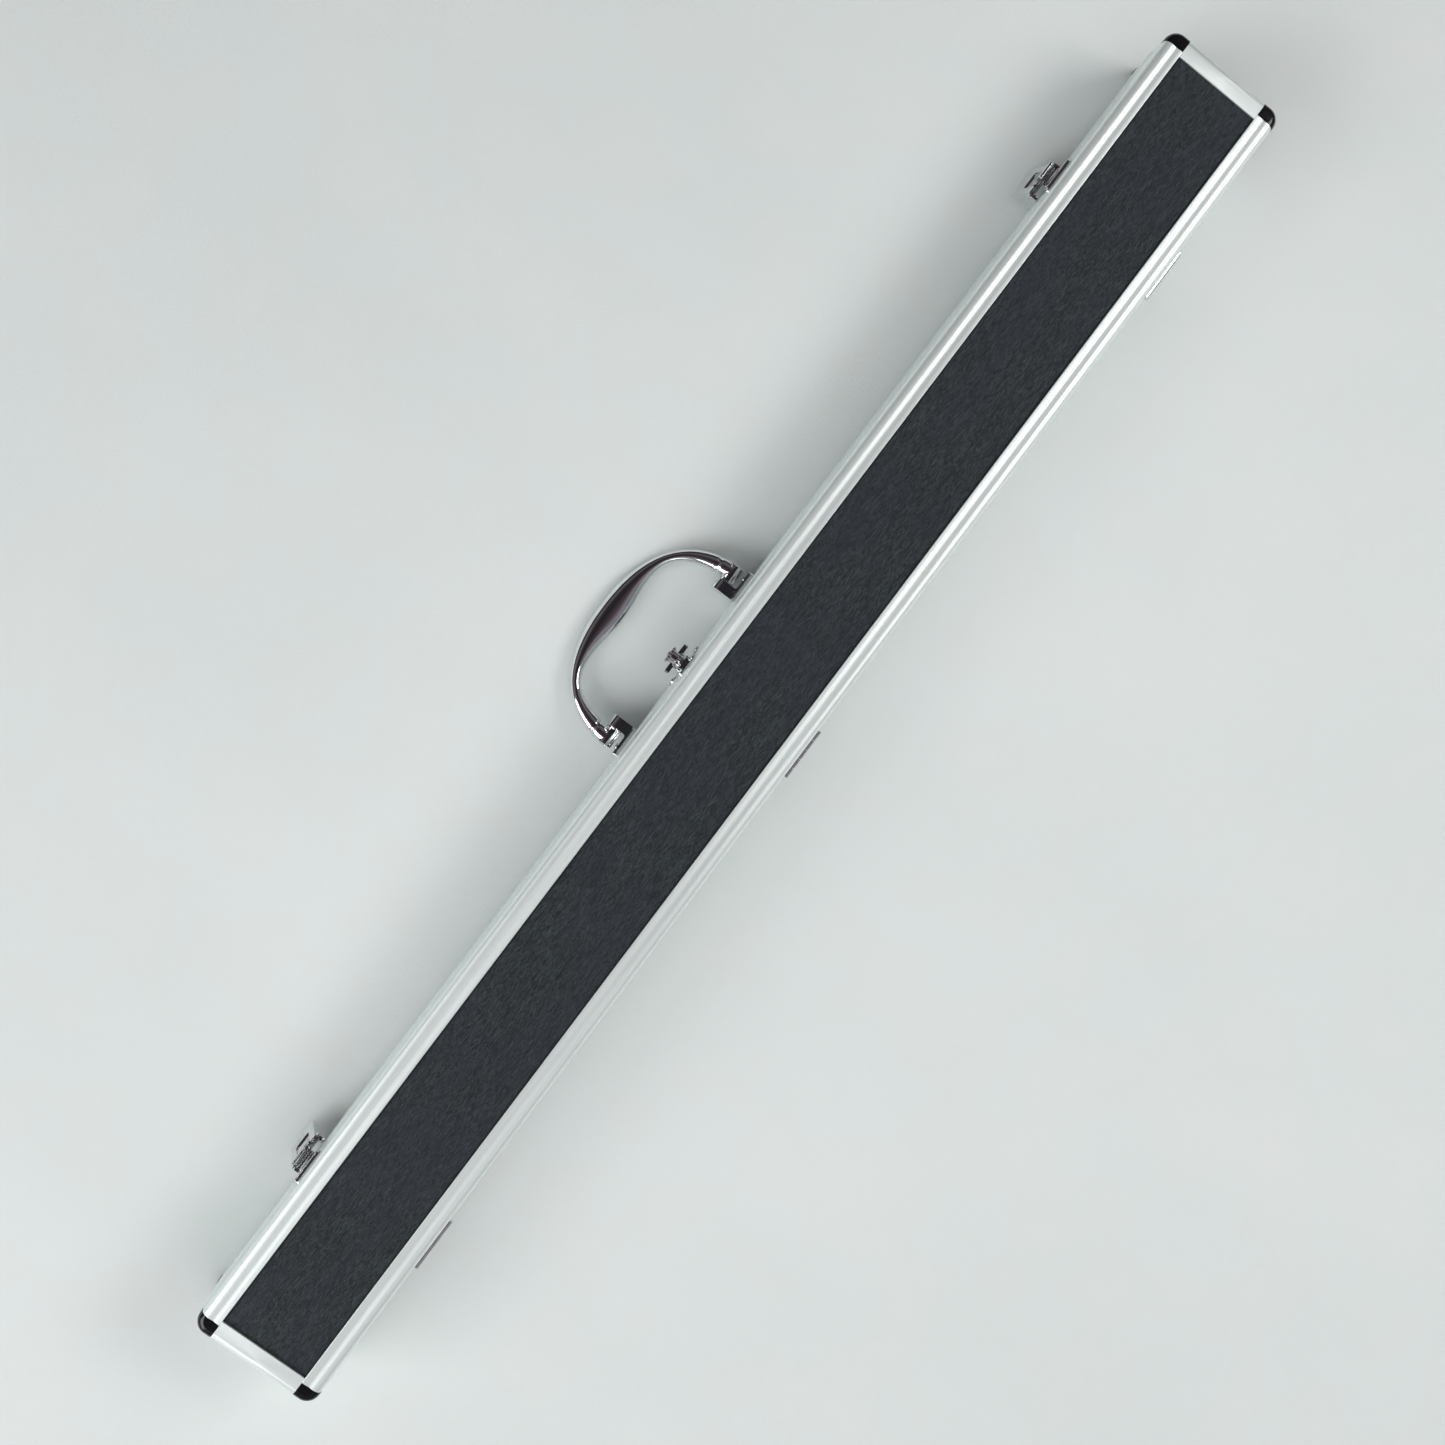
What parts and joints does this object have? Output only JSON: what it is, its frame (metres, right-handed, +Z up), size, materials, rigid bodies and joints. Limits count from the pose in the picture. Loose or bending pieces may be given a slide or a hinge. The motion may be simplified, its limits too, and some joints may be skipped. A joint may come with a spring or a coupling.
{
  "type": "cue case",
  "caption": "Long narrow aluminium-framed hard case for a two-piece cue, hinged along its back, with toggle latches, a turning lock and a bow handle on the front.",
  "frame": {"origin": "middle of the plane that the closed case rests on, half way along its length and half way across the frame's width", "axes": "+Z up, +X along the case to the left as seen from the front, -Y towards the front with the handle and latches"},
  "size_m": [0.821, 0.1324, 0.056],
  "materials": {
    "frame_aluminium": "bright satin anodised extrusion",
    "corner_plastic": "glossy black moulding",
    "grained_cover": "matt black grained covering",
    "hardboard": "plain pressed board",
    "flocked_foam": "black flocked foam",
    "chrome_hardware": "bright plated steel",
    "bright_steel": "plain bright steel"
  },
  "bodies": {
    "base": {"base_back_rail": "frame_aluminium", "base_cap_back_left": "corner_plastic", "base_cap_back_right": "corner_plastic", "base_cap_front_left": "corner_plastic", "base_cap_front_right": "corner_plastic", "base_corner_posts": "frame_aluminium", "base_foam": "flocked_foam", "base_front_rail": "frame_aluminium", "base_hinge_leaf_1": "chrome_hardware", "base_hinge_leaf_2": "chrome_hardware", "base_hinge_leaf_3": "chrome_hardware", "base_left_rail": "frame_aluminium", "base_panel_board": "hardboard", "base_panel_cover": "grained_cover", "base_right_rail": "frame_aluminium", "base_rivets": "bright_steel", "handle_bracket_left": "chrome_hardware", "handle_bracket_right": "chrome_hardware", "handle_pin_left": "bright_steel", "handle_pin_right": "bright_steel", "hinge_pin_1": "bright_steel", "hinge_pin_2": "bright_steel", "hinge_pin_3": "bright_steel", "latch_left_lever_pin": "bright_steel", "latch_left_plate": "chrome_hardware", "latch_right_lever_pin": "bright_steel", "latch_right_plate": "chrome_hardware", "lock_housing": "chrome_hardware", "lock_plate": "chrome_hardware"},
    "lid": {"latch_left_keeper": "chrome_hardware", "latch_right_keeper": "chrome_hardware", "lid_back_rail": "frame_aluminium", "lid_cap_back_left": "corner_plastic", "lid_cap_back_right": "corner_plastic", "lid_cap_front_left": "corner_plastic", "lid_cap_front_right": "corner_plastic", "lid_corner_posts": "frame_aluminium", "lid_foam": "flocked_foam", "lid_front_rail": "frame_aluminium", "lid_hinge_leaf_1": "chrome_hardware", "lid_hinge_leaf_2": "chrome_hardware", "lid_hinge_leaf_3": "chrome_hardware", "lid_left_rail": "frame_aluminium", "lid_panel_board": "hardboard", "lid_panel_cover": "grained_cover", "lid_right_rail": "frame_aluminium", "lid_rivets": "bright_steel", "lock_strike": "chrome_hardware"},
    "handle": {"handle": "chrome_hardware"},
    "lock": {"lock_cam": "chrome_hardware", "lock_knob": "chrome_hardware"},
    "latch_left_lever": {"latch_left_lever": "chrome_hardware", "latch_left_claw_pin": "bright_steel"},
    "latch_left_claw": {"latch_left_claw": "chrome_hardware"},
    "latch_right_lever": {"latch_right_lever": "chrome_hardware", "latch_right_claw_pin": "bright_steel"},
    "latch_right_claw": {"latch_right_claw": "chrome_hardware"}
  },
  "joints": [
    {"name": "lid_hinge", "type": "hinge", "parent": "base", "child": "lid", "pos_m": [0, 0.0392, 0.028], "axis": [-1, 0, 0], "range_deg": [0, 180]},
    {"name": "handle_swing", "type": "hinge", "parent": "base", "child": "handle", "pos_m": [0, -0.0455, 0.0125], "axis": [-1, 0, 0], "range_deg": [-75, 95]},
    {"name": "lock_turn", "type": "hinge", "parent": "base", "child": "lock", "pos_m": [0, -0.042, 0.0212], "axis": [0, -1, 0], "range_deg": [0, 90]},
    {"name": "latch_left_lift", "type": "hinge", "parent": "base", "child": "latch_left_lever", "pos_m": [0.317, -0.0406, 0.0235], "axis": [-1, 0, 0], "range_deg": [0, 110]},
    {"name": "latch_left_claw_swing", "type": "hinge", "parent": "latch_left_lever", "child": "latch_left_claw", "pos_m": [0.317, -0.042, 0.0175], "axis": [-1, 0, 0], "range_deg": [-100, 0]},
    {"name": "latch_right_lift", "type": "hinge", "parent": "base", "child": "latch_right_lever", "pos_m": [-0.317, -0.0406, 0.0235], "axis": [-1, 0, 0], "range_deg": [0, 110]},
    {"name": "latch_right_claw_swing", "type": "hinge", "parent": "latch_right_lever", "child": "latch_right_claw", "pos_m": [-0.317, -0.042, 0.0175], "axis": [-1, 0, 0], "range_deg": [-100, 0]}
  ],
  "couplings": [
    {"joint": "latch_left_claw_swing", "follows": "latch_left_lift", "ratio": -0.86},
    {"joint": "latch_right_claw_swing", "follows": "latch_right_lift", "ratio": -0.86}
  ]
}
